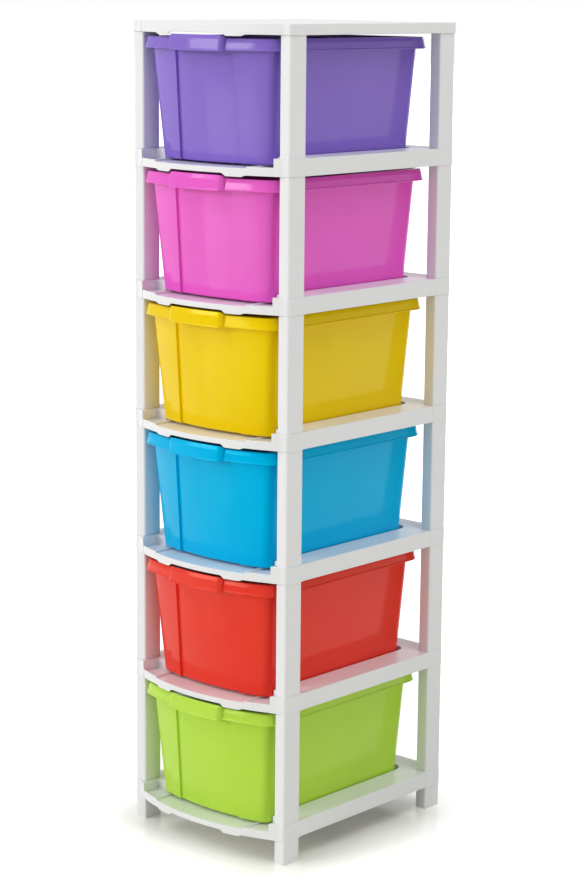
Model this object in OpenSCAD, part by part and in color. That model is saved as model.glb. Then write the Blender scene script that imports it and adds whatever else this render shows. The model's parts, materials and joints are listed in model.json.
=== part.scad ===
// Plastic drawer tower: six tapered drawers on six moulded shelves, held apart by
// plug-in corner posts and closed by a top panel.
// Millimetres, +Z up. The origin is on the floor, under the middle of the tower's
// footprint, and the drawers open towards -Y.
// Storeys and drawers are numbered from the bottom.

/* [Frame] */
// Width over the corner collars
frame_w = 320; // [300:1:400]
// Depth over the corner collars, without the bow of the front
frame_d = 378; // [350:1:460]
// Height from one shelf to the next
pitch = 200; // [160:1:260]
// How far the middle of the front edges bows forward
bow = 32.5; // [20:0.5:40]
// How far in from each side the bow starts
bow_inset = 10; // [8:1:24]
// Radius of the frame's upright corners
corner_r = 6; // [5:0.5:9]

/* [Posts and feet] */
// Width of a post, across the front
post_w = 20.8; // [16:0.1:24]
// Depth of a post, from front to back
post_d = 35; // [26:0.5:44]
// Radius of a post's upright corners
post_r = 3.2; // [3.2:0.1:7]
// Wall of the hollow posts and feet
post_wall = 2; // [1.4:0.1:3]
// Thickness of the shoulder that closes each end of a post
shoulder_t = 2.4; // [1.6:0.1:4]
// Height of the feet under the bottom shelf
foot_h = 37; // [20:1:60]
// Length of the spigots that plug into the shelves
spigot_l = 9; // [5:0.5:10]
// How far the spigots are set in from the post's faces
spigot_step = 2.4; // [1.6:0.1:3.4]
// Clearance round a spigot in its socket
spigot_gap = 0.3; // [0.1:0.05:0.6]
// Depth left over at the end of a socket
socket_spare = 0.5; // [0.2:0.1:1]

/* [Shelves] */
// Height of a shelf over its collars and sides
shelf_h = 26; // [24:0.5:34]
// Wall of the shelves' skirts, wells and ribs
shelf_wall = 2.2; // [1.6:0.1:3]
// Thickness of the deck and of the well's floor
deck_t = 2.4; // [1.6:0.1:3.2]
// How far a collar stands out round its post
collar_t = 1.2; // [0.6:0.1:2.4]
// How far the skirts are set back from the collars
skirt_set = 0.8; // [0.3:0.1:1.5]
// How far the corner blocks reach in past the collars
block_in = 2.8; // [1:0.1:6]
// Width of the flat deck along each side
deck_side = 45.5; // [38:0.5:52]
// Width of the flat deck behind the well
deck_back = 38; // [30:1:60]
// Distance from the collars' front to the front end of the side decks
deck_front = 24; // [12:1:40]
// Radius of the well's back corners
well_r = 20; // [10:1:30]
// Height of the well's floor over the shelf's underside
floor_z = 10.5; // [8:0.5:14]
// Height of the two rails that the drawer slides on
rail_h = 3; // [2.6:0.1:4]
// Width of a rail
rail_w = 2.5; // [1.5:0.1:4]
// Distance from the well's side to the middle of a rail
rail_in = 20.5; // [12:0.5:30]
// Height of the low rim at each end of the front edge, over the floor
rim_up = 2.5; // [1:0.1:2.5]
// Number of stiffening ribs across the underside
rib_count = 4; // [2:1:6]
// Gap between the ribs and the level of the shelf's lower edge
rib_lift = 2; // [1:0.5:5]

/* [Front edge] */
// How far the lips at each side of the handle's notch hang down
lip_drop = 2.5; // [1:0.1:2.8]
// Width of each lip
lip_w = 26; // [15:1:40]
// How far the notch over the handle is cut up
notch_up = 2; // [0:0.1:4]
// Clearance between the handle's end and the side of the notch
notch_gap = 5.5; // [2.5:0.1:9]
// Run of the slopes at the ends of the lips
lip_slope = 6.5; // [1:0.5:8]

/* [Top panel] */
// Height of the top panel
panel_h = 16; // [13:0.5:24]
// Thickness of its top
panel_t = 2.6; // [2:0.1:3]
// How far the panel overhangs the shelves all round
panel_out = 1; // [0.2:0.1:2]

/* [Drawer body] */
// Wall of a drawer
drawer_wall = 2; // [1.6:0.1:3]
// Thickness of a drawer's floor
drawer_floor = 2.2; // [1.6:0.1:3.5]
// Clearance between the drawer's side and the well's side, level with the deck
well_gap = 2; // [1:0.1:4]
// Distance from the drawer's back to the back of the well, level with the deck
back_gap = 10; // [4:0.5:14]
// How far the back leans out between the underside and the rim
back_lean = 10; // [4:0.5:14]
// How far the front leans out between the underside and the rim
front_lean = 17.8; // [10:0.1:24]
// How far the middle of the front is sunk behind its two corners
front_sunk = 3.6; // [2:0.1:7]
// How much further each edge of the sunk panel lies out at the bottom
panel_spread = 6.5; // [0:0.5:10]
// Radius of the front corners
front_r = 15; // [14:1:28]
// Radius of the back corners
back_r = 18; // [10:1:26]
// Rounding of the bottom edge
bottom_r = 4.5; // [3:0.1:6]

/* [Drawer rim and handle] */
// Height from the drawer's rim to the underside of the shelf above
head_gap = 5.7; // [5:0.1:12]
// Clearance between the rim and the posts at each side
side_gap = 1.2; // [0.6:0.1:3]
// Height of the down-turned rim
rim_h = 17.5; // [12:0.1:24]
// How far the rim's lower edge stands out from the body
rim_out = 13.5; // [11:0.1:16]
// How much further the rim's lower edge stands out than its top
rim_flare = 4; // [1:0.1:5]
// Height of the plain band along the rim's top
rim_band = 5.3; // [3:0.1:8]
// Height of the small step under that band
rim_step = 0.8; // [0.4:0.1:1.5]
// Width of the handle
handle_w = 105; // [70:1:130]
// How far the handle stands out from the rim
handle_out = 8; // [2:0.1:8]
// How far the handle rises over the rim
handle_up = 4.8; // [0:0.1:5]
// Width of the slope at each end of the handle
handle_slope = 1.5; // [0.8:0.1:3]
// How far the handle reaches out past the bowed front edges
grip_out = 5; // [2:0.1:8]

/* [Hidden] */
$fn = 64;
BOW_FN = 360;
// Colours of the drawers, from the bottom
DRAWER_COLOURS = ["yellowgreen", "tomato", "deepskyblue", "gold", "orchid", "mediumpurple"];
STOREYS = len(DRAWER_COLOURS);
CORNERS = [["front_left", -1, 0], ["front_right", 1, 0], ["back_left", -1, 1], ["back_right", 1, 1]];
// Small overlap with which one cut or body runs past another
EPS = 1;
// Smallest radius of an inner corner
MIN_R = 0.4;
// Segments of a drawer's outline: over half the handle, from the panel to the corner, and round corners
HANDLE_SEG = 3;
SIDE_SEG = 3;
ARC_SEG = 5;

// The frame's plan: y is counted from the collars' front until a piece is put in its place
bow_half = frame_w / 2 - bow_inset;
bow_r = (bow_half * bow_half + bow * bow) / (2 * bow);
front_reach = bow + max(grip_out, panel_out);
back_reach = frame_d + panel_out;
y_mid = (back_reach - front_reach) / 2;
collar_w = post_w + 2 * collar_t;
collar_d = post_d + 2 * collar_t;
block_x = frame_w / 2 - collar_w - block_in;
socket_l = spigot_l + socket_spare;

// The well and the front edge
well_half = frame_w / 2 - deck_side;
well_back = frame_d - deck_back;
rail_x = well_half - rail_in;
seat_z = floor_z + rail_h;
notch_half = handle_w / 2 + notch_gap;
lip_end = notch_half + lip_w;

// The drawer, with z counted from its underside
deck_z = shelf_h - seat_z;
rim_top = pitch - seat_z - head_gap;
rim_low = rim_top - rim_h;
body_top = rim_top - drawer_wall;
deck_half = well_half - well_gap;
top_half = frame_w / 2 - collar_t - post_w - side_gap - rim_out;
side_lean = (top_half - deck_half) / (body_top - deck_z);
top_front = rim_out + handle_out - bow - grip_out;
deck_y = well_back - back_gap;
panel_half = handle_w / 2 + 2 * handle_slope;

function lerp(a, b, t) = a + (b - a) * t;
function storey_z(i) = foot_h + (i - 1) * pitch;
function bow_y(x) = bow_r - bow - sqrt(bow_r * bow_r - x * x);
function corner_x(side) = side * (frame_w / 2 - collar_t - post_w / 2);
function corner_y(back) = lerp(collar_t + post_d / 2, frame_d - collar_t - post_d / 2, back);
function node_list(stem, count) = [for (i = [1:count]) str(stem, "_", i)];
function post_name(i, corner) = str("post_", i, "_", corner[0]);
function foot_name(corner) = str("foot_", corner[0]);

// ---- Plan shapes ----

// Rectangle with round corners, centred on the origin
module round_rect(w, d, r) {
    square([w - 2 * r, d], center = true);
    square([w, d - 2 * r], center = true);
    for (sx = [-1, 1], sy = [-1, 1]) {
        translate([sx * (w / 2 - r), sy * (d / 2 - r)]) circle(r);
    }
}

// The frame's outline with its bowed front, drawn in by inset
module outline(inset) {
    translate([0, frame_d / 2])
        round_rect(frame_w - 2 * inset, frame_d - 2 * inset, corner_r - inset);
    // The bow meets the straight front edge before the round corners start
    intersection() {
        translate([0, bow_r - bow]) circle(bow_r - inset, $fn = BOW_FN);
        translate([-frame_w / 2 + corner_r, -2 * bow])
            square([frame_w - 2 * corner_r, 2 * bow + corner_r]);
    }
}

// The low part of a shelf, grown by grow: the well, and the space between the corner blocks
module low_area(grow) {
    half = well_half + grow;
    r = well_r + grow;
    back = well_back + grow;
    translate([-half, 0]) square([2 * half, back - r]);
    translate([-half + r, 0]) square([2 * (half - r), back]);
    for (sx = [-1, 1]) {
        translate([sx * (half - r), back - r]) circle(r);
    }
    translate([-block_x - grow, -bow - EPS])
        square([2 * (block_x + grow), bow + EPS + deck_front + grow]);
}

// The blocks round the four posts, which stand proud of the skirts
module corner_blocks(inset) {
    intersection() {
        outline(inset);
        for (sx = [-1, 1], back = [0, 1]) {
            translate([sx * frame_w / 2, lerp(-bow, frame_d + bow, back)])
                square([2 * (frame_w / 2 - block_x), 2 * (collar_d + bow)], center = true);
        }
    }
}

// ---- Posts and feet ----

module bar(w, d, r, h) {
    linear_extrude(h) round_rect(w, d, r);
}

// A bar drawn in by inset from a post's faces
module post_bar(inset, h) {
    bar(post_w - 2 * inset, post_d - 2 * inset, max(post_r - inset, MIN_R), h);
}

module post() {
    h = pitch - shelf_h;
    difference() {
        union() {
            post_bar(0, h);
            translate([0, 0, -spigot_l]) post_bar(spigot_step, h + 2 * spigot_l);
        }
        translate([0, 0, shoulder_t]) post_bar(post_wall, h - 2 * shoulder_t);
        translate([0, 0, -spigot_l - EPS])
            post_bar(spigot_step + post_wall, h + 2 * (spigot_l + EPS));
    }
}

module foot() {
    difference() {
        union() {
            post_bar(0, foot_h);
            post_bar(spigot_step, foot_h + spigot_l);
        }
        translate([0, 0, shoulder_t]) post_bar(post_wall, foot_h - 2 * shoulder_t);
        translate([0, 0, shoulder_t]) post_bar(spigot_step + post_wall, foot_h + spigot_l);
    }
}

// Sockets for the four posts between two heights
module sockets(low, high) {
    for (c = CORNERS) {
        translate([corner_x(c[1]), corner_y(c[2]), low])
            post_bar(spigot_step - spigot_gap, high - low);
    }
}

// ---- Front edge ----

// Half of the fascia seen from the front, up to height top
module fascia_half(top) {
    polygon([
        [0, notch_up],
        [notch_half - lip_slope, notch_up],
        [notch_half, -lip_drop],
        [lip_end, -lip_drop],
        [lip_end + lip_slope, 0],
        [block_x, 0],
        [block_x, top],
        [0, top]
    ]);
}

// Skirt between the corner blocks, with its lips and its notch
module fascia(inset, top) {
    intersection() {
        translate([0, 0, -lip_drop])
            linear_extrude(top + lip_drop) {
                difference() {
                    outline(inset);
                    outline(inset + shelf_wall);
                }
            }
        translate([0, deck_front, 0])
            rotate([90, 0, 0])
                linear_extrude(bow + deck_front + EPS) {
                    fascia_half(top);
                    mirror([1, 0]) fascia_half(top);
                }
    }
}

// The space that the fascia fills, so that it can be cut out first
module fascia_space(top) {
    translate([-block_x, -bow - EPS, -EPS])
        cube([2 * block_x, bow + EPS + bow_y(block_x) + 2 * shelf_wall, top + EPS]);
}

// Ribs under a plate at height top, within the skirts
module ribs(inset, top) {
    span = frame_d - 2 * deck_front;
    intersection() {
        translate([0, 0, rib_lift]) linear_extrude(top - rib_lift) outline(inset + shelf_wall / 2);
        union() {
            for (i = [0:rib_count - 1]) {
                translate([-frame_w / 2, deck_front + i * span / (rib_count - 1), 0])
                    cube([frame_w, shelf_wall, top]);
            }
            for (sx = [-1, 1]) {
                translate([sx * rail_x - shelf_wall / 2, deck_front, 0])
                    cube([shelf_wall, frame_d, top]);
            }
        }
    }
}

// ---- Shelves and top panel ----

module shelf_plates() {
    in = skirt_set + shelf_wall;
    // Skirts and deck round the well
    difference() {
        linear_extrude(shelf_h) {
            difference() {
                outline(skirt_set);
                low_area(0);
            }
        }
        translate([0, 0, -EPS])
            linear_extrude(shelf_h - deck_t + EPS) {
                difference() {
                    outline(in);
                    low_area(shelf_wall);
                }
            }
    }
    // Floor of the well
    translate([0, 0, floor_z - deck_t])
        linear_extrude(deck_t) {
            intersection() {
                outline(skirt_set);
                low_area(shelf_wall / 2);
            }
        }
}

// Rails that carry the drawer, and the low rims at the ends of the front edge
module shelf_rails() {
    translate([0, 0, floor_z - EPS])
        linear_extrude(rail_h + EPS) {
            intersection() {
                outline(skirt_set);
                low_area(shelf_wall / 2);
                for (sx = [-1, 1]) {
                    translate([sx * rail_x - rail_w / 2, -bow]) square([rail_w, frame_d]);
                }
            }
        }
    translate([0, 0, floor_z - EPS])
        linear_extrude(rim_up + EPS) {
            intersection() {
                difference() {
                    outline(skirt_set);
                    outline(skirt_set + shelf_wall);
                }
                for (sx = [-1, 1]) {
                    translate([sx * (rail_x + block_x) / 2, 0])
                        square([block_x - rail_x, 2 * bow], center = true);
                }
            }
        }
}

module shelf() {
    difference() {
        union() {
            shelf_plates();
            shelf_rails();
            fascia(skirt_set, floor_z);
            ribs(skirt_set, floor_z - deck_t / 2);
            linear_extrude(shelf_h) corner_blocks(0);
        }
        sockets(-EPS, socket_l);
        sockets(shelf_h - socket_l, shelf_h + EPS);
    }
}

module top_panel() {
    difference() {
        union() {
            difference() {
                linear_extrude(panel_h) outline(skirt_set - panel_out);
                translate([0, 0, -EPS])
                    linear_extrude(panel_h - panel_t + EPS) outline(skirt_set + shelf_wall - panel_out);
                fascia_space(panel_h - panel_t);
            }
            fascia(skirt_set - panel_out, panel_h - panel_t / 2);
            ribs(skirt_set, panel_h - panel_t / 2);
            linear_extrude(panel_h) corner_blocks(-panel_out);
        }
        sockets(-EPS, socket_l);
    }
}

// ---- Drawers ----

// Half-width, middle of the front, and back of the drawer's body at height z
function body_half(z) = deck_half + side_lean * (z - deck_z);
function body_front(z) = top_front + front_lean * (1 - z / body_top);
function body_back(z) = deck_y + back_lean * (z - deck_z) / body_top;
function panel_edge(z) = panel_half + panel_spread * (1 - z / body_top);

// Stations over half of the front: [distance from the middle, on the handle, on the sunk panel]
function stations(edge, end) = [
    for (i = [0:HANDLE_SEG]) [i / HANDLE_SEG * handle_w / 2, 1, 1],
    [handle_w / 2 + handle_slope, 0, 1],
    [edge, 0, 1],
    [edge + handle_slope, 0, 0],
    for (i = [1:SIDE_SEG]) [lerp(edge + handle_slope, end, i / SIDE_SEG), 0, 0]
];

// One closed ring of the drawer at height z, grown by out from the body there. sunk is how deep
// the front panel lies, and tab is [how far the handle stands out, how far it rises].
function ring(z, level, out, sunk, tab) =
    let (
        half = body_half(level) + out,
        r = bow_r + out,
        front = body_front(level) - out - sunk,
        back = body_back(level) + out,
        rf = front_r + out,
        rb = back_r + out,
        cx = half - rf,
        cy = front + r - sqrt((r - rf) * (r - rf) - cx * cx),
        start = atan2(cy - front - r, cx),
        st = stations(panel_edge(level), cx * r / (r - rf)),
        n = len(st),
        right = [
            for (s = st) [
                s[0],
                front + r - sqrt(r * r - s[0] * s[0]) + sunk * s[2] - tab[0] * s[1],
                z + tab[1] * s[1]
            ]
        ],
        front_arc = [
            for (i = [1:ARC_SEG])
                let (a = lerp(start, 0, i / ARC_SEG)) [cx + rf * cos(a), cy + rf * sin(a), z]
        ],
        back_arc = [
            for (i = [0:ARC_SEG])
                let (a = 90 * i / ARC_SEG) [half - rb + rb * cos(a), back - rb + rb * sin(a), z]
        ],
        side = concat(right, front_arc, back_arc),
        m = len(side)
    )
    concat(side, [for (i = [m - 1:-1:1]) [-side[i][0], side[i][1], side[i][2]]]);

// The rings of the drawer's skin in order: up the outside, over the rim, and down the inside
function skin() =
    let (
        w = drawer_wall,
        none = [0, 0],
        tab = [handle_out, handle_up],
        low_tab = [handle_out, 0],
        cut = bottom_r * (1 - cos(45)),
        top_out = rim_out - rim_flare,
        band_z = rim_top - rim_band,
        band_out = lerp(rim_out, top_out, (rim_h - rim_band) / rim_h)
    )
    [
        ring(0, 0, -bottom_r, front_sunk, none),
        ring(cut, cut, -cut, front_sunk, none),
        ring(bottom_r, bottom_r, 0, front_sunk, none),
        ring(body_top, body_top, 0, front_sunk, none),
        ring(body_top, body_top, top_out - w, 0, tab),
        ring(rim_low, body_top, rim_out - w, 0, low_tab),
        ring(rim_low, body_top, rim_out, 0, low_tab),
        ring(band_z - rim_step, body_top, band_out, 0, tab),
        ring(band_z, body_top, band_out - rim_step, 0, tab),
        ring(rim_top, body_top, top_out - rim_step / 2, 0, tab),
        ring(rim_top, body_top, -w, front_sunk, none),
        ring(drawer_floor + bottom_r, bottom_r, -w, front_sunk, none),
        ring(drawer_floor, cut, -w - bottom_r, front_sunk, none)
    ];

// A closed solid through a list of rings
module loft(rings) {
    n = len(rings[0]);
    last = len(rings) - 1;
    polyhedron(
        points = [for (r = rings, p = r) p],
        faces = concat(
            [[for (i = [0:n - 1]) i]],
            [
                for (k = [0:last - 1], i = [0:n - 1])
                    let (j = (i + 1) % n, a = k * n, b = a + n)
                        each [[a + i, b + i, b + j], [a + i, b + j, a + j]]
            ],
            [[for (i = [n - 1:-1:0]) last * n + i]]
        )
    );
}

module drawer() {
    loft(skin());
}

// ---- The tower ----

module place(z) {
    translate([0, -y_mid, z]) children();
}

module place_at(corner, z) {
    place(z) translate([corner_x(corner[1]), corner_y(corner[2]), 0]) children();
}

color("white") place(storey_z(STOREYS + 1)) top_panel();
for (i = [1:STOREYS]) {
    color("white") place(storey_z(i)) shelf();
    color(DRAWER_COLOURS[i - 1]) place(storey_z(i) + seat_z) drawer();
    for (c = CORNERS) {
        color("white") place_at(c, storey_z(i) + shelf_h) post();
    }
}
for (c = CORNERS) {
    color("white") place_at(c, 0) foot();
}
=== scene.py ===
# %% [markdown]
# # A tower of plastic drawers
# The real object is a light tower of injection-moulded plastic: six tapered drawers on six
# white shelves, with plug-in posts at the corners and a flat panel on top. The solid model
# already has every size. So each piece here is made in the same frame, and stands for one of
# its solids.

# %% Load the solid model
import json
import math

import bmesh
import bpy
from mathutils import Matrix, Vector

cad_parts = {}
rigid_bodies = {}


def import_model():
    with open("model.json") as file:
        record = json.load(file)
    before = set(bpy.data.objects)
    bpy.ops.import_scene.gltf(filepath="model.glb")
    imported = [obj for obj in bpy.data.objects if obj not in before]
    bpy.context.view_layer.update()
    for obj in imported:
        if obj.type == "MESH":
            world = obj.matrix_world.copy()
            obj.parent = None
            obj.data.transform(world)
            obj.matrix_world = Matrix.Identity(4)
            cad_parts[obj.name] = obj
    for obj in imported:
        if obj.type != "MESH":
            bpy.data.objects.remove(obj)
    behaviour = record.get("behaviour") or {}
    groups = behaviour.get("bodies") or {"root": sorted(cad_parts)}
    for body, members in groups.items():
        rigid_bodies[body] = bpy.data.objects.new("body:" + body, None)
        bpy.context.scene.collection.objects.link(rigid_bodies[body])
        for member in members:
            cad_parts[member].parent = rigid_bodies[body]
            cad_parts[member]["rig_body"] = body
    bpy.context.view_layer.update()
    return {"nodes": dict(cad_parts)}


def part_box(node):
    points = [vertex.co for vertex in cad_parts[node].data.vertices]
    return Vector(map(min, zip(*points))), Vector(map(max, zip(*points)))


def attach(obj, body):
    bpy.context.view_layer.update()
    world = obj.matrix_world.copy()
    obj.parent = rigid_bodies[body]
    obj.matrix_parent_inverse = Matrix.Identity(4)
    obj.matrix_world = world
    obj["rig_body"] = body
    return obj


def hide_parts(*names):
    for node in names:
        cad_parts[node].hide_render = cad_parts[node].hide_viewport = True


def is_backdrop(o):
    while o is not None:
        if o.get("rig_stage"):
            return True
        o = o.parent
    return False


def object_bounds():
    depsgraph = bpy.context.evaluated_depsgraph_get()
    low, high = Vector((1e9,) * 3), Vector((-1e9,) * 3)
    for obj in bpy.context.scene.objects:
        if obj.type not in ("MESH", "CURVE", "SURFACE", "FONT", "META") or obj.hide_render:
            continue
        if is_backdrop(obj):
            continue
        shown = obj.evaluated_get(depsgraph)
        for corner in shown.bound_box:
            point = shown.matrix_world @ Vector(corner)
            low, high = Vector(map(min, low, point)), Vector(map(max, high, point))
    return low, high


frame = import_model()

MM = 0.001

# %% [markdown]
# ## Camera
# The tower is seen from its front right corner, a little from above, through a long lens
# about 3.6 m away. A long lens keeps the posts nearly parallel. A camera could be aimed with a
# constraint, but two angles and a roll say the direction exactly. The small roll tilts the
# picture by half a degree.

# %% Camera
CAMERA_PLACE = Vector((2.3850, -2.6438, 1.3050))
AZIMUTH, PITCH, ROLL = math.radians(41.84), math.radians(11.02), math.radians(0.53)
LENS_MM = 95.31

scene = bpy.context.scene
camera_data = bpy.data.cameras.new("camera")
camera_data.lens = LENS_MM
camera = bpy.data.objects.new("camera", camera_data)
scene.collection.objects.link(camera)
scene.camera = camera
back = Vector((math.sin(AZIMUTH) * math.cos(PITCH), -math.cos(AZIMUTH) * math.cos(PITCH),
               math.sin(PITCH)))
level_right = Vector((math.cos(AZIMUTH), math.sin(AZIMUTH), 0))
level_up = back.cross(level_right)
right = level_right * math.cos(ROLL) + level_up * math.sin(ROLL)
up = level_up * math.cos(ROLL) - level_right * math.sin(ROLL)
turn = Matrix((right, up, back)).transposed().to_4x4()
camera.matrix_world = Matrix.Translation(CAMERA_PLACE) @ turn
print("camera looks along", [round(v, 3) for v in -back])

# %% [markdown]
# ## Rays that see
# The white round the tower is a thing to be seen, not a lamp. A renderer follows rays, and the
# Light Path node tells what each ray is for. So the white can be kept for the rays that make
# the picture: those from the camera, those that make a mirror image, and those that look
# through something. All other rays gather light, and they get the light that is meant.

# %% Rays that see
def seen_rays(nodes, links):
    """Is 1 for a ray from the camera, and for one that makes a mirror image or looks through."""
    path = nodes.new("ShaderNodeLightPath")
    seen = path.outputs["Is Camera Ray"]
    for kind in ("Is Glossy Ray", "Is Transmission Ray"):
        either = nodes.new("ShaderNodeMath")
        either.operation = "MAXIMUM"
        links.new(seen, either.inputs[0])
        links.new(path.outputs[kind], either.inputs[1])
        seen = either.outputs[0]
    return seen


print("Rays that see are camera, glossy and transmission rays.")

# %% [markdown]
# ## White tent
# A product like this is shot in a white tent, where light comes from everywhere. A tent could
# be built from lit walls, but a pale world gives the same soft light with no noise. Its light
# is well below white, so that the plastics keep their colours, and rays that see get plain
# white.

# %% White tent
TENT_LIGHT = 0.38
SEEN_WHITE = 1.0

scene.view_settings.view_transform = "Standard"
world = bpy.data.worlds.new("white_tent")
scene.world = world
world.use_nodes = True
nodes, links = world.node_tree.nodes, world.node_tree.links
nodes.clear()
choose = nodes.new("ShaderNodeMixShader")
links.new(seen_rays(nodes, links), choose.inputs["Fac"])
for socket, strength in ((1, TENT_LIGHT), (2, SEEN_WHITE)):
    tent = nodes.new("ShaderNodeBackground")
    tent.inputs["Color"].default_value = (1, 1, 1, 1)
    tent.inputs["Strength"].default_value = strength
    links.new(tent.outputs[0], choose.inputs[socket])
out = nodes.new("ShaderNodeOutputWorld")
links.new(choose.outputs[0], out.inputs["Surface"])
print("tent:", TENT_LIGHT, "as light,", SEEN_WHITE, "where it is seen")

# %% [markdown]
# ## Softboxes
# A softbox high at the front left makes the front brighter than the side, and the top storeys
# brighter than the lower ones. A wide one stands far behind it. The glossy rims and handles
# mirror it as a bright patch with clean edges, and because it is far away it lies in the same
# direction for them all. One above the right side lights the decks beside the drawers, and a
# low one at the right lights the sides of the lower storeys. Rectangular area lamps are used,
# since a mirrored lamp shows its shape. The camera doesn't see them.

# %% Softboxes
def softbox(name, place, aim, size, watts):
    """A rectangular lamp that looks from place towards aim, and that no camera sees."""
    lamp = bpy.data.lights.new(name, "AREA")
    lamp.shape = "RECTANGLE"
    lamp.size, lamp.size_y = size
    lamp.energy = watts
    obj = bpy.data.objects.new(name, lamp)
    obj.visible_camera = False
    scene.collection.objects.link(obj)
    direction = Vector(aim) - Vector(place)
    obj.matrix_world = (Matrix.Translation(Vector(place))
                        @ direction.to_track_quat("-Z", "Y").to_matrix().to_4x4())


softbox("high_softbox", place=(-1.42, -2.36, 3.6), aim=(0, 0, 1.0), size=(2.0, 1.8), watts=28)
softbox("far_softbox", place=(-8.0, -13.86, 5.2), aim=(0, 0, 1.0), size=(9.5, 3.7), watts=980)
softbox("right_softbox", place=(1.5, 0.1, 3.5), aim=(0.1, 0, 0.8), size=(1.4, 1.4), watts=25)
softbox("low_softbox", place=(3.4, -0.6, 0.5), aim=(0, 0, 0.3), size=(1.6, 1.6), watts=13)

# %% [markdown]
# ## Floor
# The tower stands on a white sweep: paper that lies on the ground and has no visible end. One
# large flat grid makes it, since the world behind it is white as well and needs no backdrop. It
# is a little glossy, so the feet leave a faint mirror image. Its paint has less blue in it, and
# the floor's blue glow takes that back outside the shadow, so the warm tone in the shadow is a
# painted tint of shade.

# %% Floor
FLOOR_HALF = 30.0
# Less blue in the paint: together with the blue glow it is a painted warm tint of the shadow
FLOOR_PAINT = (0.90, 0.90, 0.76, 1)
FLOOR_ROUGHNESS = 0.14

bm = bmesh.new()
bmesh.ops.create_grid(bm, x_segments=1, y_segments=1, size=FLOOR_HALF)
floor_mesh = bpy.data.meshes.new("floor")
bm.to_mesh(floor_mesh)
bm.free()
floor = bpy.data.objects.new("floor", floor_mesh)
scene.collection.objects.link(floor)
floor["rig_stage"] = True
floor_paint = bpy.data.materials.new("white_floor")
floor_paint.use_nodes = True
floor_mesh.materials.append(floor_paint)
nodes, links = floor_paint.node_tree.nodes, floor_paint.node_tree.links
surface = nodes["Principled BSDF"]
surface.inputs["Base Color"].default_value = FLOOR_PAINT
surface.inputs["Roughness"].default_value = FLOOR_ROUGHNESS
print("floor:", 2 * FLOOR_HALF, "m wide")

# %% [markdown]
# ## How far from the tower
# In a studio the sweep is lit until it burns out to white. More light would burn out the tower
# too, so here the floor gets a glow instead, which is painted light. It is weak under the tower,
# where the soft shadow has to stay but is lightened a little, and grows with the distance. The
# distance is measured from a rectangle under the tower, a little smaller than its plan. Taking
# half the rectangle's size off the absolute place leaves nothing inside it, and outside it the
# length of what is left is the distance.

# %% How far from the tower
UNDER_HALF = (0.12, 0.14, 0.0)


def vector_step(operation, source, other=None):
    """One step of a sum with vectors."""
    step = nodes.new("ShaderNodeVectorMath")
    step.operation = operation
    links.new(source, step.inputs[0])
    if other is not None:
        step.inputs[1].default_value = other
    return step.outputs["Value" if operation == "LENGTH" else "Vector"]


where = nodes.new("ShaderNodeTexCoord").outputs["Object"]
beyond = vector_step("SUBTRACT", vector_step("ABSOLUTE", where), UNDER_HALF)
distance = vector_step("LENGTH", vector_step("MAXIMUM", beyond, (0, 0, 0)))
print("the floor's distance starts at", UNDER_HALF[:2], "m from the tower's middle")

# %% [markdown]
# ## Glow of the floor
# The glow is painted light, and it rises twice: quickly beside the tower, where the shadow ends,
# and slowly further out, until the floor is white. Only rays that see get it, so it lights
# nothing. It is a touch blue, which takes the warm tone of the paint back where there is no
# shadow, and so leaves a painted warm tint in the shadow.

# %% Glow of the floor
# Painted light on the floor: a blue glow, weak under the tower and stronger near and far from it
GLOW_TINT = (0.88, 0.88, 1.0, 1)
GLOW_UNDER, GLOW_NEAR, GLOW_FAR = 0.05, 0.55, 1.0
NEAR, FAR = 0.13, 2.2


def rise(start, end, low, high):
    """A smooth rise from low to high between two distances."""
    ramp = nodes.new("ShaderNodeMapRange")
    ramp.interpolation_type = "SMOOTHSTEP"
    for name, value in (("From Min", start), ("From Max", end), ("To Min", low), ("To Max", high)):
        ramp.inputs[name].default_value = value
    links.new(distance, ramp.inputs["Value"])
    return ramp.outputs["Result"]


both = nodes.new("ShaderNodeMath")
links.new(rise(0, NEAR, GLOW_UNDER, GLOW_NEAR), both.inputs[0])
links.new(rise(NEAR, FAR, 0, GLOW_FAR - GLOW_NEAR), both.inputs[1])
glow = nodes.new("ShaderNodeEmission")
glow.inputs["Color"].default_value = GLOW_TINT
links.new(both.outputs[0], glow.inputs["Strength"])
nothing = nodes.new("ShaderNodeEmission")
nothing.inputs["Strength"].default_value = 0
only_seen = nodes.new("ShaderNodeMixShader")
links.new(seen_rays(nodes, links), only_seen.inputs["Fac"])
links.new(nothing.outputs[0], only_seen.inputs[1])
links.new(glow.outputs[0], only_seen.inputs[2])
add = nodes.new("ShaderNodeAddShader")
links.new(surface.outputs[0], add.inputs[0])
links.new(only_seen.outputs[0], add.inputs[1])
links.new(add.outputs[0], nodes["Material Output"].inputs["Surface"])
print("floor glow:", GLOW_UNDER, "under the tower,", GLOW_NEAR, "near it,", GLOW_FAR, "far away")

# %% [markdown]
# ## Patterns for plastic
# Moulded plastic looks plain, but it is never quite even. Its unevenness could be painted in an
# image. A noise texture needs no image, has no seams, and on Object coordinates it stays on the
# piece when a drawer moves. A bump turns such a pattern into tiny hills, which bend the
# reflections and leave the shape alone.

# %% Patterns for plastic
def noise(nodes, links, scale, detail):
    """A cloudy pattern that stays on the piece, from 0 to 1."""
    cloud = nodes.new("ShaderNodeTexNoise")
    cloud.inputs["Scale"].default_value = scale
    cloud.inputs["Detail"].default_value = detail
    where = nodes.new("ShaderNodeTexCoord")
    links.new(where.outputs["Object"], cloud.inputs["Vector"])
    return cloud.outputs["Fac"]


def bump(nodes, links, height, strength, depth):
    """Small hills of the given depth, in millimetres."""
    hills = nodes.new("ShaderNodeBump")
    hills.inputs["Strength"].default_value = strength
    hills.inputs["Distance"].default_value = depth * MM
    links.new(height, hills.inputs["Height"])
    return hills


print("Patterns are noise on Object coordinates.")

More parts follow.
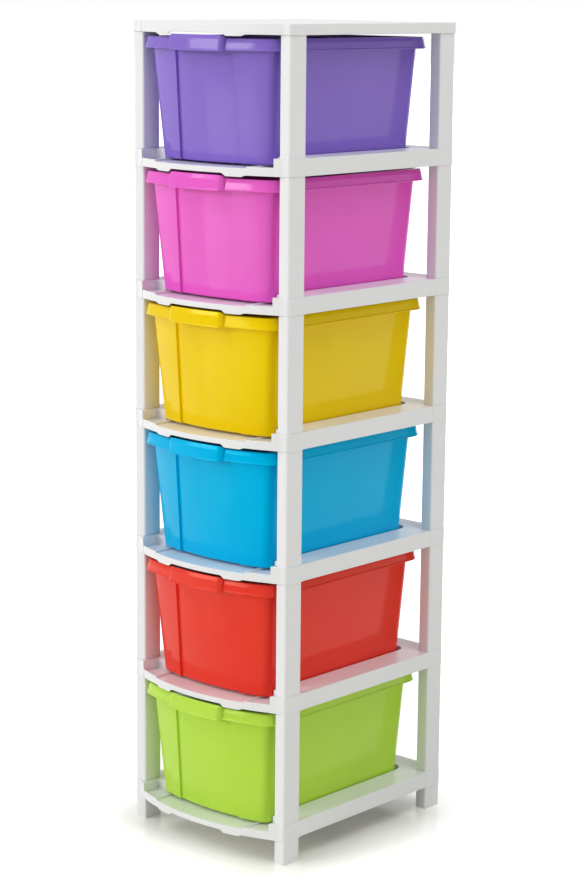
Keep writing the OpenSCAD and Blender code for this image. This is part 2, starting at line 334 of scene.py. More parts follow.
# %% [markdown]
# ## Moulded plastic
# All pieces are polypropylene. Its surface is satin: it has a clear soft reflection, and it
# is never quite flat, because the plastic shrinks a little as it cools. One recipe makes
# every colour: a base colour that drifts very slightly, a roughness that drifts too, a slow
# wave for the shrinkage, and a fine grain from the steel of the mould.

# %% Plastic recipe
PLASTIC_IOR = 1.49
# Scale and detail of each pattern
COLOUR_CLOUD = (9.0, 3.0)
POLISH_CLOUD = (28.0, 4.0)
WAVE_CLOUD = (14.0, 1.0)
GRAIN_CLOUD = (900.0, 2.0)
# The part of the colour's pattern that the drift is spread over
CLOUD_LOW, CLOUD_HIGH = 0.3, 0.7
POLISH_DRIFT = 0.04
WAVE, WAVE_DEPTH = 0.25, 0.6
GRAIN, GRAIN_DEPTH = 0.03, 0.05


def moulded_plastic(name, colour, roughness, shine, shine_colour=(1, 1, 1), drift=0.03):
    """A satin moulded plastic. drift is how much lighter and darker the colour gets."""
    paint = bpy.data.materials.new(name)
    paint.use_nodes = True
    nodes, links = paint.node_tree.nodes, paint.node_tree.links
    surface = nodes["Principled BSDF"]
    surface.inputs["IOR"].default_value = PLASTIC_IOR
    surface.inputs["Specular IOR Level"].default_value = shine
    surface.inputs["Specular Tint"].default_value = (*shine_colour, 1)

    tint = nodes.new("ShaderNodeValToRGB")
    low, high = tint.color_ramp.elements
    low.position, high.position = CLOUD_LOW, CLOUD_HIGH
    low.color = tuple(c * (1 - drift) for c in colour) + (1,)
    high.color = tuple(min(1, c * (1 + drift)) for c in colour) + (1,)
    links.new(noise(nodes, links, *COLOUR_CLOUD), tint.inputs["Fac"])
    links.new(tint.outputs["Color"], surface.inputs["Base Color"])

    polish = nodes.new("ShaderNodeMapRange")
    polish.inputs["To Min"].default_value = roughness - POLISH_DRIFT
    polish.inputs["To Max"].default_value = roughness + POLISH_DRIFT
    links.new(noise(nodes, links, *POLISH_CLOUD), polish.inputs["Value"])
    links.new(polish.outputs["Result"], surface.inputs["Roughness"])

    slow = bump(nodes, links, noise(nodes, links, *WAVE_CLOUD), WAVE, WAVE_DEPTH)
    fine = bump(nodes, links, noise(nodes, links, *GRAIN_CLOUD), GRAIN, GRAIN_DEPTH)
    links.new(slow.outputs["Normal"], fine.inputs["Normal"])
    links.new(fine.outputs["Normal"], surface.inputs["Normal"])
    return paint


print("plastic bends light by", PLASTIC_IOR)

# %% [markdown]
# ## Seven colours
# The frame is white, with a duller surface. The drawers are glossier than the frame, so their
# rims mirror the softbox. White reflections would make pure colours such as the yellow and the
# blue pale. So each colour has a shine of its own, and the first four mirror light in their own
# tint.

# %% Seven colours
SATIN, GLOSS = 0.34, 0.12
WHITE = moulded_plastic("white_plastic", (0.875, 0.875, 0.905), SATIN, shine=0.5,
                        drift=0.012)
# Name, paint, strength and colour of the shine
DRAWER_COLOURS = {
    1: ("green", (0.515, 0.80, 0.074), 0.28, (0.8, 1, 0.4)),
    2: ("red", (0.89, 0.047, 0.027), 0.28, (1, 0.4, 0.3)),
    3: ("blue", (0.0, 0.49, 0.88), 0.24, (0.0, 0.8, 1)),
    4: ("yellow", (0.94, 0.655, 0.0), 0.24, (1, 0.9, 0.2)),
    5: ("pink", (0.885, 0.110, 0.64), 0.28, (1, 1, 1)),
    6: ("purple", (0.250, 0.147, 0.64), 0.25, (1, 1, 1)),
}
DRAWER_PAINTS = {i: moulded_plastic(colour + "_plastic", paint, GLOSS, shine, shine_colour)
                 for i, (colour, paint, shine, shine_colour) in DRAWER_COLOURS.items()}
print("plastics:", [WHITE.name] + [paint.name for paint in DRAWER_PAINTS.values()])

# %% [markdown]
# ## From a mesh under construction to a piece
# The pieces are drawn in millimetres, as on a workshop drawing, and scaled to metres at the
# end. Every piece is finished in the same way. The object stays at the origin, and its place
# is in its mesh. It is tied to the body that it moves with, and the solid that it stands for
# is hidden.

# %% Finish a piece
Y_MIDDLE = 170.75
SMOOTH_BELOW = math.radians(24)


def to_metres(bm, shift):
    """Moves a mesh that is drawn in millimetres, and scales it to metres."""
    bmesh.ops.translate(bm, vec=shift, verts=bm.verts)
    bmesh.ops.scale(bm, vec=(MM, MM, MM), verts=bm.verts)


def piece(bm, name, node, paint):
    """Makes the object that stands for a solid."""
    mesh = bpy.data.meshes.new(name)
    bm.to_mesh(mesh)
    bm.free()
    mesh.materials.append(paint)
    mesh.shade_smooth()
    mesh.set_sharp_from_angle(angle=SMOOTH_BELOW)
    obj = bpy.data.objects.new(name, mesh)
    scene.collection.objects.link(obj)
    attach(obj, frame["nodes"][node]["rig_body"])
    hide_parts(node)
    return obj


print("y is measured from the frame's front corners,", Y_MIDDLE, "mm before the tower's middle")

# %% [markdown]
# ## Rounded edges
# Real moulded edges are never sharp, and each catches a thin line of light. The edges could be
# cut round in the mesh. A live bevel does it in one step, and the mesh under it stays simple.
# On the frame it takes every edge that turns by more than 30 degrees. On the drawers it takes
# the edges that carry a weight, because their roundings differ in size.

# %% Rounded edges
ROUND_ABOVE = math.radians(30)
EDGE_SEGMENTS = 3


def round_edges(obj, width, by_weight=False):
    """A live bevel, on the weighted edges or on every edge that turns enough."""
    bevel = obj.modifiers.new("rounded_edges", "BEVEL")
    bevel.width = width * MM
    bevel.segments = EDGE_SEGMENTS
    bevel.limit_method = "WEIGHT" if by_weight else "ANGLE"
    bevel.angle_limit = ROUND_ABOVE
    bevel.use_clamp_overlap = False
    bevel.harden_normals = True


print("an edge is rounded in", EDGE_SEGMENTS, "steps")

# %% [markdown]
# ## Drawing with a compass
# Outlines here are straight lines and arcs, as on the drawing for the mould. Spinning a point
# gives an arc, and extruding it gives a straight line. Both helpers add their new points to the
# end of a list, so the list is the outline in order. All pieces are the same left and right, so
# half of each is drawn, and a mirror adds the rest.

# %% Compass and ruler
MERGE = 0.001


def arc(bm, line, centre, angle, steps):
    """Carries the last point of line round centre, in steps."""
    for _ in range(steps):
        made = bmesh.ops.spin(bm, geom=[line[-1]], cent=centre, axis=(0, 0, 1),
                              angle=angle / steps, steps=1)
        line.append(next(g for g in made["geom_last"] if isinstance(g, bmesh.types.BMVert)))


def line_to(bm, line, x, y):
    """Draws a straight line from the last point."""
    end = bmesh.ops.extrude_vert_indiv(bm, verts=[line[-1]])["verts"][0]
    end.co.x, end.co.y = x, y
    line.append(end)


def mirror_half(bm):
    """Adds the other half of a piece, and closes it along the middle."""
    bmesh.ops.mirror(bm, geom=bm.verts[:] + bm.edges[:] + bm.faces[:], axis="X", merge_dist=MERGE)
    bmesh.ops.remove_doubles(bm, verts=bm.verts, dist=MERGE)
    bmesh.ops.recalc_face_normals(bm, faces=bm.faces)


print("points closer than", MERGE, "mm become one")

# %% [markdown]
# ## Posts and feet
# A post is a hollow bar with a rounded section. At each end a thinner spigot goes into the
# socket of a shelf. A bar could be an outline pushed up, but a box with its four long edges
# bevelled gives the same section in two steps. An inset and an extrusion of the end face give
# the spigot, and once more, inwards, its hollow.

# %% One bar with its spigots
POST_WIDTH, POST_DEPTH = 20.8, 35.0
POST_ROUND = 3.2
ROUND_STEPS = 6
POST_HEIGHT = 174.0
FOOT_HEIGHT = 37.0
SPIGOT_STEP = 2.4
SPIGOT_LENGTH = 9.0
WALL = 2.0
TOUCH = 0.1
# A face counts as level when its normal's z is above LEVEL, and as upright when below UPRIGHT
LEVEL, UPRIGHT = 0.9, 0.5


def slope(edge):
    """How much higher one end of an edge lies than the other."""
    return abs(edge.verts[0].co.z - edge.verts[1].co.z)


def push_end(bm, face, step, length):
    """Insets an end face, pushes it along z, and returns it."""
    bmesh.ops.inset_individual(bm, faces=[face], thickness=step)
    made = bmesh.ops.extrude_discrete_faces(bm, faces=[face])["faces"][0]
    bmesh.ops.translate(bm, verts=made.verts, vec=(0, 0, length))
    return made


def bar(height, ends):
    """A post or foot standing on z = 0, with spigots at the ends (1 top, -1 bottom)."""
    bm = bmesh.new()
    bmesh.ops.create_cube(bm, size=1)
    bmesh.ops.scale(bm, vec=(POST_WIDTH, POST_DEPTH, height), verts=bm.verts)
    bmesh.ops.translate(bm, vec=(0, 0, height / 2), verts=bm.verts)
    upright = [e for e in bm.edges if slope(e) > TOUCH]
    bmesh.ops.bevel(bm, geom=upright, offset=POST_ROUND, segments=ROUND_STEPS, profile=0.5,
                    affect="EDGES", material=-1)
    for end in ends:
        face = next(f for f in bm.faces if f.normal.z * end > LEVEL)
        face = push_end(bm, face, SPIGOT_STEP, end * SPIGOT_LENGTH)
        push_end(bm, face, WALL, -end * SPIGOT_LENGTH)
    return bm


post, foot = bar(POST_HEIGHT, (-1, 1)), bar(FOOT_HEIGHT, (1,))
print("a post has", len(post.faces), "faces before its edges are rounded")

# %% [markdown]
# ## Twenty-four posts and four feet
# All posts come out of one mould, and so do the feet. So each place in the tower gets a copy of
# the one post or the one foot. The places could be worked out from the plan. Here the solid
# that a copy stands for says where it goes, so the two can't drift apart.

# %% Twenty-four posts and four feet
POST_EDGE = 0.6

for node in sorted(frame["nodes"]):
    kind = node.split("_")[0]
    if kind not in ("post", "foot"):
        continue
    low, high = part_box(node)
    middle = (low + high) / 2 / MM
    bottom = low.z / MM + (SPIGOT_LENGTH if kind == "post" else 0)
    bm = (post if kind == "post" else foot).copy()
    to_metres(bm, (middle.x, middle.y, bottom))
    round_edges(piece(bm, node + "_bar", node, WHITE), POST_EDGE)
post.free()
foot.free()

# %% [markdown]
# ## The frame's plan
# Shelves and top panel share one plan: a rectangle with small round corners, whose front
# bows forward in one long arc. Half of it is drawn with the compass and mirrored, and the
# loop is filled with one flat face. Cutting the bow out of a rectangle would be possible too,
# but the compass leaves points only where the plan needs them.

# %% Plan of the frame
FRAME_HALF, FRAME_DEPTH = 160.0, 378.0
CORNER_ROUND = 6.0
BOW, BOW_STEPS = 32.5, 20
BOW_HALF = 150.0
BOW_RADIUS = (BOW_HALF ** 2 + BOW ** 2) / (2 * BOW)
SKIRT_SET = 0.8
SHELF_WALL = 2.2


def frame_plan(inset):
    """The outline, drawn in by inset, as one flat face that looks up."""
    bm = bmesh.new()
    radius = BOW_RADIUS - inset
    centre = (0, BOW_RADIUS - BOW, 0)
    corner = FRAME_HALF - CORNER_ROUND
    back = FRAME_DEPTH - CORNER_ROUND
    line = [bm.verts.new((0, inset - BOW, 0))]
    arc(bm, line, centre, math.acos((centre[1] - inset) / radius), BOW_STEPS)
    line_to(bm, line, corner, inset)
    arc(bm, line, (corner, CORNER_ROUND, 0), math.pi / 2, ROUND_STEPS)
    line_to(bm, line, FRAME_HALF - inset, back)
    arc(bm, line, (corner, back, 0), math.pi / 2, ROUND_STEPS)
    line_to(bm, line, 0, FRAME_DEPTH - inset)
    mirror_half(bm)
    bmesh.ops.edgeloop_fill(bm, edges=bm.edges)
    for f in bm.faces:
        if f.normal.z < 0:
            f.normal_flip()
    return bm


print("the front bows forward by", BOW, "mm on an arc with radius", round(BOW_RADIUS), "mm")

# %% [markdown]
# ## Cutting and joining
# A moulding is one piece of plastic, but it is easier to draw in parts. These tools help: a
# knife that cuts a mesh along a plane, a plain bar, and a way to put a finished part, such as a
# corner block, into the piece that it is moulded with. The parts overlap a little and aren't
# welded, because a boolean would cut the clean faces into slivers.

# %% Knife, bar and joint
def knife(bm, point, direction, keep=True):
    """Cuts the whole mesh along a plane. With keep=False the side it points to falls away."""
    bmesh.ops.bisect_plane(bm, geom=bm.verts[:] + bm.edges[:] + bm.faces[:], dist=MERGE,
                           plane_co=point, plane_no=direction, clear_outer=not keep)


def add_box(bm, low, high):
    """Adds a plain bar, such as a rib, between two corners."""
    made = bmesh.ops.create_cube(bm, size=1)["verts"]
    bmesh.ops.scale(bm, vec=Vector(high) - Vector(low), verts=made)
    bmesh.ops.translate(bm, vec=(Vector(high) + Vector(low)) / 2, verts=made)


def push_up(bm, height):
    """Extrudes flat faces upwards into a block."""
    made = bmesh.ops.extrude_face_region(bm, geom=bm.faces[:])["geom"]
    high = [g for g in made if isinstance(g, bmesh.types.BMVert)]
    bmesh.ops.translate(bm, vec=(0, 0, height), verts=high)


def join_in(bm, other):
    """Adds a finished part to the piece that it belongs to."""
    part = bpy.data.meshes.new("part")
    other.to_mesh(part)
    other.free()
    bm.from_mesh(part)
    bpy.data.meshes.remove(part)


print("the knife keeps both sides, unless it is told to drop one")

# %% [markdown]
# ## Corner blocks
# Each corner of a shelf is a block that stands 0.8 mm proud of the skirts. Its socket takes
# the spigot of a post. A box would miss the plan's round corner, so the block is cut out of the
# plan itself with two straight cuts and pushed up. The socket is an inset of the end face,
# pushed inwards.

# %% Corner blocks
BLOCK_INNER = 134.0
BLOCK_DEPTH = 37.4
BLOCK_STEP = 2.8
SOCKET_EDGE = 3.3
SOCKET_DEPTH = 9.5
SOCKET_MERGE = 0.01


def cut_socket(bm, face, depth, front):
    """Sinks the socket of a post into an end face of a block."""
    bmesh.ops.inset_individual(bm, faces=[face], thickness=SOCKET_EDGE)
    for v in face.verts:
        v.co.y = max(v.co.y, front + SOCKET_EDGE)
        v.co.x = max(v.co.x, BLOCK_INNER + SOCKET_EDGE + BLOCK_STEP)
    middle = face.calc_center_bounds()
    bmesh.ops.remove_doubles(bm, verts=face.verts[:], dist=SOCKET_MERGE)
    face = min(bm.faces, key=lambda f: (f.calc_center_bounds() - middle).length)
    hole = bmesh.ops.extrude_discrete_faces(bm, faces=[face])["faces"][0]
    bmesh.ops.translate(bm, verts=hole.verts, vec=(0, 0, depth))


def corner_block(inset, height, at_back):
    """The block of the right-hand corner, at the front or at the back."""
    bm = frame_plan(inset)
    knife(bm, (BLOCK_INNER, 0, 0), (-1, 0, 0), keep=False)
    if at_back:
        knife(bm, (0, FRAME_DEPTH - BLOCK_DEPTH, 0), (0, -1, 0), keep=False)
    else:
        knife(bm, (0, BLOCK_DEPTH, 0), (0, 1, 0), keep=False)
    push_up(bm, height)
    bmesh.ops.recalc_face_normals(bm, faces=bm.faces)
    return bm


def add_blocks(bm, inset, height, both_ends):
    """Adds the four blocks to a shelf or to the top panel, with their sockets."""
    for at_back, front in ((False, 0.0), (True, FRAME_DEPTH - BLOCK_DEPTH)):
        block = corner_block(inset, height, at_back)
        lower = next(f for f in block.faces if f.normal.z < -LEVEL)
        cut_socket(block, lower, SOCKET_DEPTH, front)
        if both_ends:
            upper = next(f for f in block.faces if f.normal.z > LEVEL
                         and f.calc_center_median().z > height - TOUCH)
            cut_socket(block, upper, -SOCKET_DEPTH, front)
        mirror_half(block)
        join_in(bm, block)


print("a socket is", SOCKET_DEPTH, "mm deep, for a spigot of", SPIGOT_LENGTH, "mm")

# %% [markdown]
# ## Lips over the handle
# The front skirt hangs down in two small lips, with a notch between them that leaves room
# for the handle below. The skirt is cut upright where the lips begin and end, and its
# lower edge is moved down or up between the cuts. That keeps the skirt one sheet, which a lip
# added as a part of its own wouldn't.

# %% Lips
# Distance from the middle and height of the skirt's lower edge, where its direction changes
LIPS = ((51.5, 2.0), (58.0, -2.5), (84.0, -2.5), (90.5, 0.0))


def lip_height(x):
    """Height of the front skirt's lower edge at x."""
    before = LIPS[0]
    for after in LIPS:
        if abs(x) < after[0] + MERGE:
            share = (abs(x) - before[0]) / max(after[0] - before[0], MERGE)
            return before[1] + (after[1] - before[1]) * max(share, 0.0)
        before = after
    return 0.0


def hang_skirt(bm):
    """Extrudes the outer edge down to z = 0 and shapes the lips."""
    edges = [e for e in bm.edges if e.is_boundary and slope(e) < TOUCH]
    made = bmesh.ops.extrude_edge_only(bm, edges=edges)["geom"]
    for g in made:
        if isinstance(g, bmesh.types.BMVert):
            g.co.z = 0
    for x in [side * at for at, _ in LIPS for side in (-1, 1)]:
        skirt = [f for f in bm.faces
                 if f.calc_center_median().y < 0 and abs(f.normal.z) < UPRIGHT]
        geom = {g for f in skirt for g in (f, *f.edges, *f.verts)}
        bmesh.ops.bisect_plane(bm, geom=list(geom), dist=MERGE, plane_co=(x, 0, 0),
                               plane_no=(1, 0, 0))
    for v in bm.verts:
        if v.co.y < 0 and abs(v.co.z) < TOUCH:
            v.co.z = lip_height(v.co.x)


print("the notch over the handle is", 2 * LIPS[0][0], "mm wide")

# %% [markdown]
# ## Wall and ribs
# A moulding has one wall thickness nearly everywhere, or it would warp as it cools, and ribs
# under its flat parts keep it stiff. So a plate is drawn as a sheet, and solidify gives it its
# wall on the inside. The ribs are plain bars that reach a little way into the plate.

# %% Wall and ribs
RAIL_AT = 94.0
RIB_FRONT, RIB_BACK, RIB_HALF = 24.0, 375.5, 157.5
RIB_COUNT, RIB_STEP = 4, 110.0
RIB_LOW, RIB_ROOT = 2.0, 1.0


def thicken(bm, wall):
    """Gives a sheet its wall, on the inside."""
    bmesh.ops.recalc_face_normals(bm, faces=bm.faces)
    if max(bm.faces, key=lambda f: f.calc_area()).normal.z < 0:
        bmesh.ops.reverse_faces(bm, faces=bm.faces)
    bmesh.ops.solidify(bm, geom=bm.faces[:], thickness=wall)


def add_ribs(bm, plate):
    """Adds the stiffening ribs under a plate whose upper side is at height plate."""
    top = plate - SHELF_WALL + RIB_ROOT
    for i in range(RIB_COUNT):
        y = RIB_FRONT + i * RIB_STEP
        add_box(bm, (-RIB_HALF, y, RIB_LOW), (RIB_HALF, y + SHELF_WALL, top))
    for x in (-RAIL_AT, RAIL_AT):
        add_box(bm, (x - SHELF_WALL / 2, RIB_FRONT, RIB_LOW),
                (x + SHELF_WALL / 2, RIB_BACK, top))


print("ribs:", RIB_COUNT, "across and 2 along")

# %% [markdown]
# ## Top panel
# The top panel is a tray turned upside down: a flat plate with a skirt all round. The plan is
# the plate. Its edge is extruded down, and the sheet gets its wall. It stays a tenth of a
# millimetre under the blocks, which leaves a fine seam, as between two parts of a mould.

# %% Top panel
STOREYS, STOREY = 6, 200.0
PANEL_HEIGHT = 16.0
PANEL_OVER = 1.0
SEAM = 0.1
FRAME_EDGE = 0.9

bm = frame_plan(SKIRT_SET - PANEL_OVER)
bmesh.ops.translate(bm, vec=(0, 0, PANEL_HEIGHT - SEAM), verts=bm.verts)
hang_skirt(bm)
thicken(bm, SHELF_WALL)
add_ribs(bm, PANEL_HEIGHT - SEAM)
add_blocks(bm, -PANEL_OVER, PANEL_HEIGHT, both_ends=False)
to_metres(bm, (0, -Y_MIDDLE, FOOT_HEIGHT + STOREYS * STOREY))
top_panel = piece(bm, "top_panel_moulding", "top_panel", WHITE)
round_edges(top_panel, FRAME_EDGE)
print("top panel:", len(top_panel.data.polygons), "faces")

# %% [markdown]
# ## Shelves
# A shelf is a deck with a sunk middle that is open to the front. It could be built from a box
# for each wall, but then every joint would show. So it stays one sheet: the plan is cut into
# fields with straight cuts, the fields in the middle are pushed down, and the two back corners
# of the well are rounded with a wide bevel. Then the skirt and the wall follow as on the top
# panel.

# %% Shelf sheet
SHELF_HEIGHT = 26.0
FLOOR_LEVEL = 10.5
WELL_HALF, WELL_BACK, WELL_FRONT = 114.5, 340.0, 24.0
WELL_ROUND, WELL_ROUND_STEPS = 20.0, 10
LOW_HALF = 137.5
OPEN_UP_TO = 5.0


def is_low(face):
    """Whether a field of the plan belongs to the sunk middle."""
    at = face.calc_center_median()
    in_well = abs(at.x) < WELL_HALF and at.y < WELL_BACK
    return in_well or (abs(at.x) < LOW_HALF and at.y < WELL_FRONT)


def is_front_wall(face):
    """Whether a face closes the sunk middle to the front, where it has to be open."""
    return (abs(face.normal.z) < UPRIGHT < abs(face.normal.y)
            and face.calc_center_median().y < OPEN_UP_TO)


def is_well_corner(edge):
    """Whether an edge is one of the two upright corners at the back of the well."""
    at = edge.verts[0].co
    return (slope(edge) > TOUCH and abs(abs(at.x) - WELL_HALF) < TOUCH
            and at.y > WELL_BACK - TOUCH)


def shelf_sheet():
    """Deck, well and skirt of a shelf."""
    bm = frame_plan(SKIRT_SET)
    bmesh.ops.translate(bm, vec=(0, 0, SHELF_HEIGHT - SEAM), verts=bm.verts)
    for x in (WELL_HALF, -WELL_HALF, LOW_HALF, -LOW_HALF):
        knife(bm, (x, 0, 0), (1, 0, 0))
    for y in (WELL_FRONT, WELL_BACK):
        knife(bm, (0, y, 0), (0, 1, 0))
    low = [f for f in bm.faces if is_low(f)]
    made = bmesh.ops.extrude_face_region(bm, geom=low)["geom"]
    for g in made:
        if isinstance(g, bmesh.types.BMVert):
            g.co.z = FLOOR_LEVEL
    bmesh.ops.delete(bm, geom=low, context="FACES")
    bm.normal_update()
    front = [f for f in bm.faces if is_front_wall(f)]
    bmesh.ops.delete(bm, geom=front, context="FACES")
    corners = [e for e in bm.edges if is_well_corner(e)]
    bmesh.ops.bevel(bm, geom=corners, offset=WELL_ROUND, segments=WELL_ROUND_STEPS, profile=0.5,
                    affect="EDGES", material=-1)
    hang_skirt(bm)
    thicken(bm, SHELF_WALL)
    return bm


shelf = shelf_sheet()
print("the well lies", SHELF_HEIGHT - FLOOR_LEVEL, "mm below the deck")

# %% [markdown]
# ## Rails and low rims
# The drawer doesn't slide on the whole floor of the well, which would jam. It slides on two
# narrow rails. They stay a tenth of a millimetre under the drawer, so that it moves freely.
# Between the rails and the corner blocks a low rim closes the front edge. It follows the bow:
# two arcs are drawn side by side, bridged and pushed up.

# %% Rails and low rims
RAIL_WIDTH, RAIL_HEIGHT, RAIL_SET = 2.5, 2.9, 0.2
RIM_UP, RIM_STEPS = 2.5, 6
# How far rails and rims reach into the plate under them
ROOT = 0.5


def bow_at(x, inset):
    """Where the bowed front lies at x."""
    return BOW_RADIUS - BOW - math.sqrt((BOW_RADIUS - inset) ** 2 - x * x)


def add_front_rims(bm):
    """The low rims between the rails and the corner blocks."""
    rim = bmesh.new()
    for inset in (SKIRT_SET, SKIRT_SET + SHELF_WALL):
        radius = BOW_RADIUS - inset
        turn = math.asin(LOW_HALF / radius) - math.asin(RAIL_AT / radius)
        line = [rim.verts.new((RAIL_AT, bow_at(RAIL_AT, inset), FLOOR_LEVEL - ROOT))]
        arc(rim, line, (0, BOW_RADIUS - BOW, FLOOR_LEVEL - ROOT), turn, RIM_STEPS)
    bmesh.ops.bridge_loops(rim, edges=rim.edges[:])
    push_up(rim, RIM_UP + ROOT)
    mirror_half(rim)
    join_in(bm, rim)


for x in (-RAIL_AT, RAIL_AT):
    add_box(shelf,
            (x - RAIL_WIDTH / 2, bow_at(RAIL_AT, SKIRT_SET) + RAIL_SET, FLOOR_LEVEL - ROOT),
            (x + RAIL_WIDTH / 2, WELL_BACK + ROOT, FLOOR_LEVEL + RAIL_HEIGHT))
add_front_rims(shelf)
add_ribs(shelf, FLOOR_LEVEL)
add_blocks(shelf, 0, SHELF_HEIGHT, both_ends=True)
print("rails:", 2 * RAIL_AT, "mm apart")

# %% [markdown]
# ## Six shelves
# The six shelves are the same moulding. Each one is a copy of the finished mesh, lifted to its
# storey, so every part of the tower can be swapped for another of its kind.

# %% Six shelves
for i in range(1, STOREYS + 1):
    bm = shelf.copy()
    to_metres(bm, (0, -Y_MIDDLE, FOOT_HEIGHT + (i - 1) * STOREY))
    obj = piece(bm, "shelf_%d_moulding" % i, "shelf_%d" % i, WHITE)
    round_edges(obj, FRAME_EDGE)
print("a shelf:", len(shelf.faces), "faces before its edges are rounded")
shelf.free()

# %% [markdown]
# ## Drawers
# A drawer is a tapered tub with a bowed front. Its rim is folded outwards and down. The
# middle of the front is sunk, and over it the rim comes forward and up as a handle. A box could
# be bent and cut into this shape, but its points would end up anywhere. Instead the drawer is
# drawn as outlines, one for each level, all with the same number of points, and each outline is
# bridged to the next. The tub widens from the underside to the top of its body, so its sizes
# come in pairs.

# %% Drawer sizes
# At the underside and at the body's top
HALF_WIDTH = (111.7, 123.3)
FRONT = (1.8, -16.0)
BACK = (329.3, 339.3)
FRONT_ROUND, BACK_ROUND, BOTTOM_ROUND = 15.0, 18.0, 4.5
BODY_TOP, RIM_TOP, RIM_FOLD, RIM_LOW = 178.8, 180.8, 174.6, 163.3
SUNK, SUNK_SLOPE = 3.6, 0.3
PANEL_HALF, PANEL_SPREAD = 55.5, 6.5
HANDLE_HALF, HANDLE_CORNER = 54.0, 6.0
HANDLE_OUT, HANDLE_UP, HANDLE_DROP = 8.0, 4.8, 1.0
FLOOR_THICK = 2.2


def at_level(pair, level):
    """A measure between its values at the underside and at the body's top."""
    return pair[0] + (pair[1] - pair[0]) * level / BODY_TOP


print("the drawer's body is", 2 * HALF_WIDTH[0], "mm wide below and", 2 * HALF_WIDTH[1], "above")

# %% [markdown]
# ## One outline of the drawer
# An outline starts in the middle of the front and runs round to the middle of the back. On
# its way it stops at the round end of the handle and at the edge of the sunk panel. There the
# stops lie close together, like the hours of a clock seen from the side, so that the handle
# ends in a quarter circle, both seen from above and seen from the front. Where the panel is
# sunk or the handle stands out, the points near the middle are moved at the end.

# %% Outline of the drawer
HANDLE_FLAT_POINTS, HANDLE_CORNER_POINTS = 6, 8
PANEL_POINTS = HANDLE_FLAT_POINTS + HANDLE_CORNER_POINTS + 2
FRONT_STEPS, FRONT_ROUND_STEPS, BACK_ROUND_STEPS = 6, 10, 8


def handle_share(x):
    """How much of the handle is left at x: all of it, and none at its end."""
    past = (x - (HANDLE_HALF - HANDLE_CORNER)) / HANDLE_CORNER
    return math.sqrt(max(0.0, 1 - min(max(past, 0.0), 1.0) ** 2))


def front_stops(level, corner_at):
    """Where the front's arc stops on its way to the corner, and in how many steps it gets there."""
    points = HANDLE_CORNER_POINTS
    quarter = [math.pi / 2 * (k + 1) / points for k in range(points)]
    edge = PANEL_HALF + PANEL_SPREAD * (1 - level / BODY_TOP)
    stops = [(HANDLE_HALF - HANDLE_CORNER, HANDLE_FLAT_POINTS)]
    stops += [(HANDLE_HALF - HANDLE_CORNER * (1 - math.sin(turn)), 1) for turn in quarter]
    return stops + [(edge, 1), (edge + SUNK_SLOPE, 1), (corner_at, FRONT_STEPS)]


def ring(bm, z, level, out, sunk=0.0, stands_out=0.0, rises=0.0):
    """Half of the drawer's outline at height z, grown by out from the body at that level."""
    radius, front_round, back_round = BOW_RADIUS + out, FRONT_ROUND + out, BACK_ROUND + out
    front = at_level(FRONT, level) - out - sunk
    corner_x = at_level(HALF_WIDTH, level) + out - front_round
    corner_y = front + radius - math.sqrt((radius - front_round) ** 2 - corner_x ** 2)
    back = at_level(BACK, level) + out
    side = corner_x + front_round
    line = [bm.verts.new((0, front, z))]
    for x, steps in front_stops(level, corner_x * radius / (radius - front_round)):
        turn = math.asin(x / radius) - math.asin(line[-1].co.x / radius)
        arc(bm, line, (0, front + radius, z), turn, steps)
    turn = math.atan2(front + radius - corner_y, corner_x)
    arc(bm, line, (corner_x, corner_y, z), turn, FRONT_ROUND_STEPS)
    line_to(bm, line, side, back - back_round)
    arc(bm, line, (side - back_round, back - back_round, z), math.pi / 2, BACK_ROUND_STEPS)
    line_to(bm, line, 0, back)
    for v in line[:PANEL_POINTS]:
        share = handle_share(v.co.x)
        v.co.y += sunk - stands_out * share
        v.co.z += rises * share
    return line


print("the front bows as the frame does, with radius", round(BOW_RADIUS), "mm")

# %% [markdown]
# ## Rings of the drawer
# The skin runs in rings from the underside up the wall, out along the fold of the rim, down
# its inside, round the bead on its lower edge, up its outside and down into the tub, as the
# plastic runs. The rim leans back in two flat bands. The lower one leans just enough to mirror
# the far softbox.

# %% Rings of the drawer
BEAD = 1.3
BEAD_SHOULDER = 2.1 * BEAD
BOTTOM_STEPS = 4
# Height, distance out from the body, whether the handle lifts this ring, share of the bevel
RIM = (
    (BODY_TOP, 6.9, True, 0.0),
    (RIM_LOW, 11.1, False, 0.35),
    (RIM_LOW, 13.5, False, 0.5),
    (RIM_LOW + BEAD, 13.5, False, 0.5),
    (RIM_LOW + BEAD_SHOULDER, 12.4, False, 0.35),
    (RIM_FOLD, 10.8, True, 0.3),
    (RIM_TOP, 8.9, True, 1.0),
)


def rounded_bottom(bm, z, wall):
    """Rings round the bottom edge, from the floor at height z up to the wall."""
    rings = []
    for k in range(BOTTOM_STEPS + 1):
        turn = math.pi / 2 * k / BOTTOM_STEPS
        up, inward = BOTTOM_ROUND * (1 - math.cos(turn)), BOTTOM_ROUND * (1 - math.sin(turn))
        rings.append(ring(bm, z + up, up, -wall - inward, SUNK))
    return rings


def drawer_rings(bm):
    """All rings in order, and the numbers of the first ring of the rim and of the mouth."""
    rings = rounded_bottom(bm, 0, 0)
    rings.append(ring(bm, BODY_TOP, BODY_TOP, 0, SUNK))
    rim_start = len(rings)
    for z, out, lifted, _ in RIM:
        rise = HANDLE_UP if lifted else -HANDLE_DROP
        rings.append(ring(bm, z, BODY_TOP, out, stands_out=HANDLE_OUT, rises=rise))
    mouth = len(rings)
    rings.append(ring(bm, RIM_TOP, BODY_TOP, -WALL, SUNK))
    rings += reversed(rounded_bottom(bm, FLOOR_THICK, WALL))
    return rings, rim_start, mouth


print("the rim takes", len(RIM), "rings")

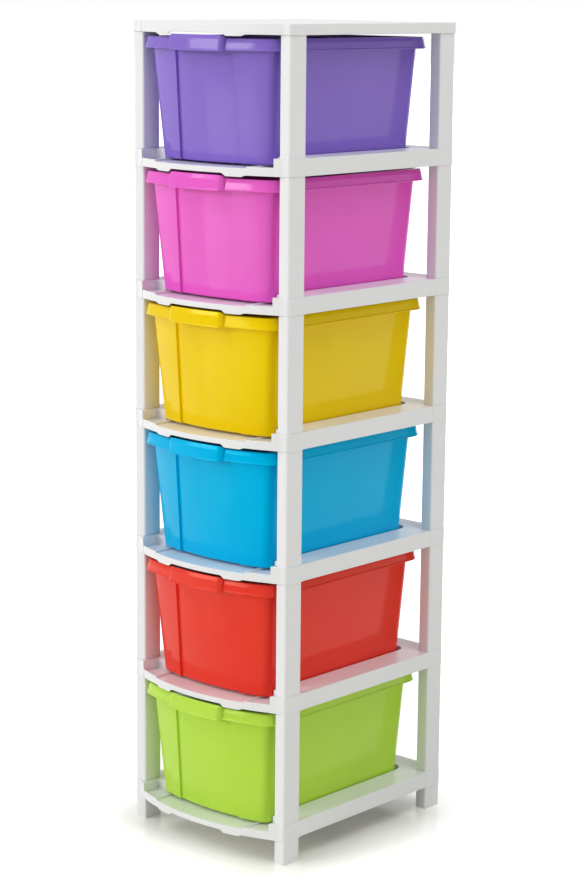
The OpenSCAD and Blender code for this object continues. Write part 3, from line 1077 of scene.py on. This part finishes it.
# %% [markdown]
# ## Drawer skin
# Bridging each ring to the next gives the skin, and one flat face closes the underside and one
# the floor inside. Then each edge that has to be round gets its share of the bevel: the folds
# of the rim a wide one, its lower edge a narrow one, and the sides of the sunk panel a fine
# one.

# %% Drawer skin
MOUTH_SHARE, PANEL_SHARE = 0.7, 0.25


def weigh_edges(bm, rings, rim_start, mouth):
    """Gives the edges that a bevel rounds their share of the bevel's width."""
    weight = bm.edges.layers.float.new("bevel_weight_edge")
    for k, share in enumerate([share for *_, share in RIM] + [MOUTH_SHARE]):
        for pair in zip(rings[rim_start + k], rings[rim_start + k][1:]):
            bm.edges.get(pair)[weight] = share
    for k, (low, high) in enumerate(zip(rings, rings[1:])):
        if rim_start - 1 <= k < mouth:
            continue
        for j in (PANEL_POINTS - 1, PANEL_POINTS):
            bm.edges.get((low[j], high[j]))[weight] = PANEL_SHARE


def drawer_skin():
    """The closed skin of a drawer."""
    bm = bmesh.new()
    rings, rim_start, mouth = drawer_rings(bm)
    for low, high in zip(rings, rings[1:]):
        edges = [bm.edges.get(pair) for line in (low, high) for pair in zip(line, line[1:])]
        bmesh.ops.bridge_loops(bm, edges=edges)
    for cap in (rings[0], rings[-1]):
        bmesh.ops.contextual_create(bm, geom=cap)
    weigh_edges(bm, rings, rim_start, mouth)
    mirror_half(bm)
    # The mirror leaves an edge along the middle of the underside and of the floor
    middle = [e for e in bm.edges if slope(e) < TOUCH and e.calc_length() > BACK[0] / 2
              and all(abs(v.co.x) < MERGE for v in e.verts)]
    bmesh.ops.dissolve_edges(bm, edges=middle)
    return bm


drawer = drawer_skin()
print("a drawer:", len(drawer.faces), "faces before its edges are rounded")

# %% [markdown]
# ## Six drawers
# The six drawers come out of one mould as well, each in its own colour. A drawer sits on the
# rails of its shelf and moves with its own body, so it can be pulled out.

# %% Six drawers
SLIDE_GAP = 0.1
SEAT = FLOOR_LEVEL + RAIL_HEIGHT + SLIDE_GAP
DRAWER_EDGE = 1.2

for i, (colour, *_) in DRAWER_COLOURS.items():
    bm = drawer.copy()
    to_metres(bm, (0, -Y_MIDDLE, FOOT_HEIGHT + (i - 1) * STOREY + SEAT))
    obj = piece(bm, "drawer_%d_tub" % i, "drawer_%d" % i, DRAWER_PAINTS[i])
    round_edges(obj, DRAWER_EDGE, by_weight=True)
drawer.free()
print("drawers:", [colour for colour, *_ in DRAWER_COLOURS.values()], "from the bottom up")

# %% [markdown]
# ## Sizes for the record
# The size of the finished pieces is printed, in millimetres.

# %% Sizes for the record
low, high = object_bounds()
print("finished pieces, size in mm:", [round(v / MM, 1) for v in high - low])
